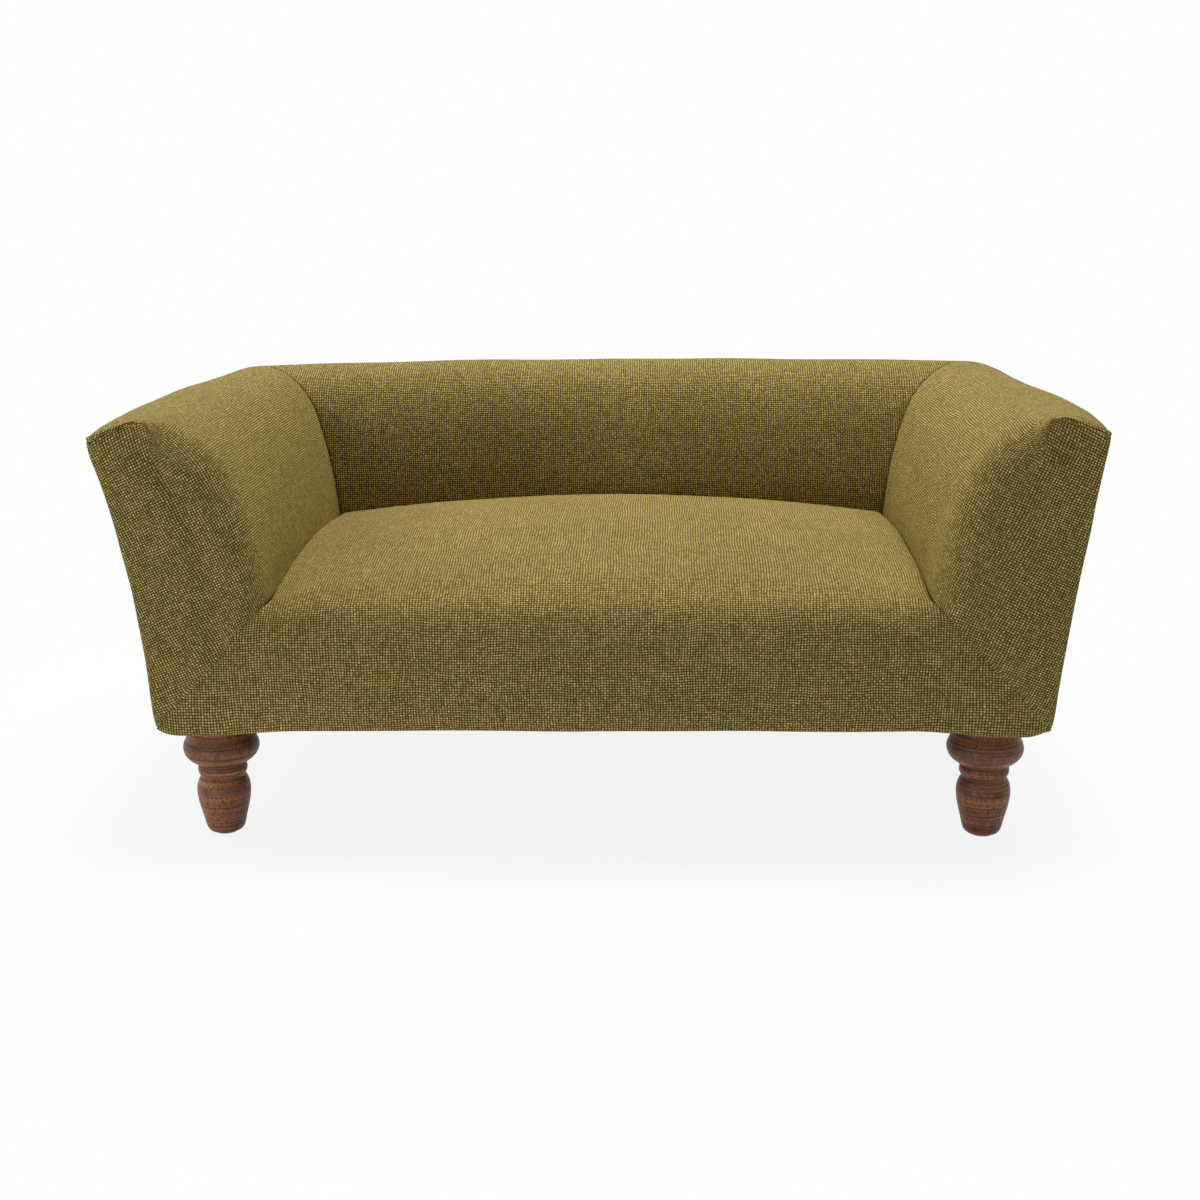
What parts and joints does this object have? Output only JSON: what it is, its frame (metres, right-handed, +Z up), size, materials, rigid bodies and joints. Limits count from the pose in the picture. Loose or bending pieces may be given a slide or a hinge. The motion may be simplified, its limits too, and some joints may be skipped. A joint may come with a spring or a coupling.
{
  "type": "pet bed",
  "caption": "Upholstered sofa-style pet bed with flared padded arms, a low back, a fixed crowned seat and turned wooden feet.",
  "frame": {"origin": "centre of the bounding box's bottom face, on the floor under the bed", "axes": "+X across the bed to the right as seen from its front, -Y to its open front, +Z up"},
  "size_m": [0.8, 0.49, 0.356],
  "materials": {
    "cover_fabric": "olive green chunky plain weave, matte",
    "dust_cloth": "thin black bonded cloth",
    "foam": "open-cell foam",
    "liner_board": "thin hardboard",
    "outer_card": "plain card",
    "frame_timber": "sawn softwood",
    "foot_wood": "dark walnut stain, satin",
    "webbing": "woven strap",
    "fixing_steel": "zinc plated",
    "glide_steel": "nickel plated"
  },
  "bodies": {
    "root": {"arm_cover_left": "cover_fabric", "arm_cover_right": "cover_fabric", "arm_front_board_left": "frame_timber", "arm_front_board_right": "frame_timber", "arm_liner_left": "liner_board", "arm_liner_right": "liner_board", "arm_outer_board_left": "outer_card", "arm_outer_board_right": "outer_card", "arm_outside_cover_left": "cover_fabric", "arm_outside_cover_right": "cover_fabric", "arm_pad_left": "foam", "arm_pad_right": "foam", "arm_rear_board_left": "frame_timber", "arm_rear_board_right": "frame_timber", "arm_tack_rail_left": "frame_timber", "arm_tack_rail_right": "frame_timber", "arm_top_rail_left": "frame_timber", "arm_top_rail_right": "frame_timber", "back_centre_board": "frame_timber", "back_end_board_left": "frame_timber", "back_end_board_right": "frame_timber", "back_inside_cover": "cover_fabric", "back_liner": "liner_board", "back_outer_board": "outer_card", "back_outside_cover": "cover_fabric", "back_pad": "foam", "back_tack_rail": "frame_timber", "back_top_rail": "frame_timber", "centre_rail": "frame_timber", "corner_block_front_left": "frame_timber", "corner_block_front_right": "frame_timber", "corner_block_rear_left": "frame_timber", "corner_block_rear_right": "frame_timber", "dust_cover": "dust_cloth", "foot_front_left": "foot_wood", "foot_front_right": "foot_wood", "foot_rear_left": "foot_wood", "foot_rear_right": "foot_wood", "frame_screws": "fixing_steel", "front_rail": "frame_timber", "glide_front_left": "glide_steel", "glide_front_right": "glide_steel", "glide_rear_left": "glide_steel", "glide_rear_right": "glide_steel", "hanger_bolts": "fixing_steel", "rear_corner_post_left": "frame_timber", "rear_corner_post_right": "frame_timber", "rear_rail": "frame_timber", "seat_cover": "cover_fabric", "seat_pad": "foam", "side_rail_left": "frame_timber", "side_rail_right": "frame_timber", "tee_nuts": "fixing_steel", "webbing_cross": "webbing", "webbing_long": "webbing"}
  },
  "joints": []
}
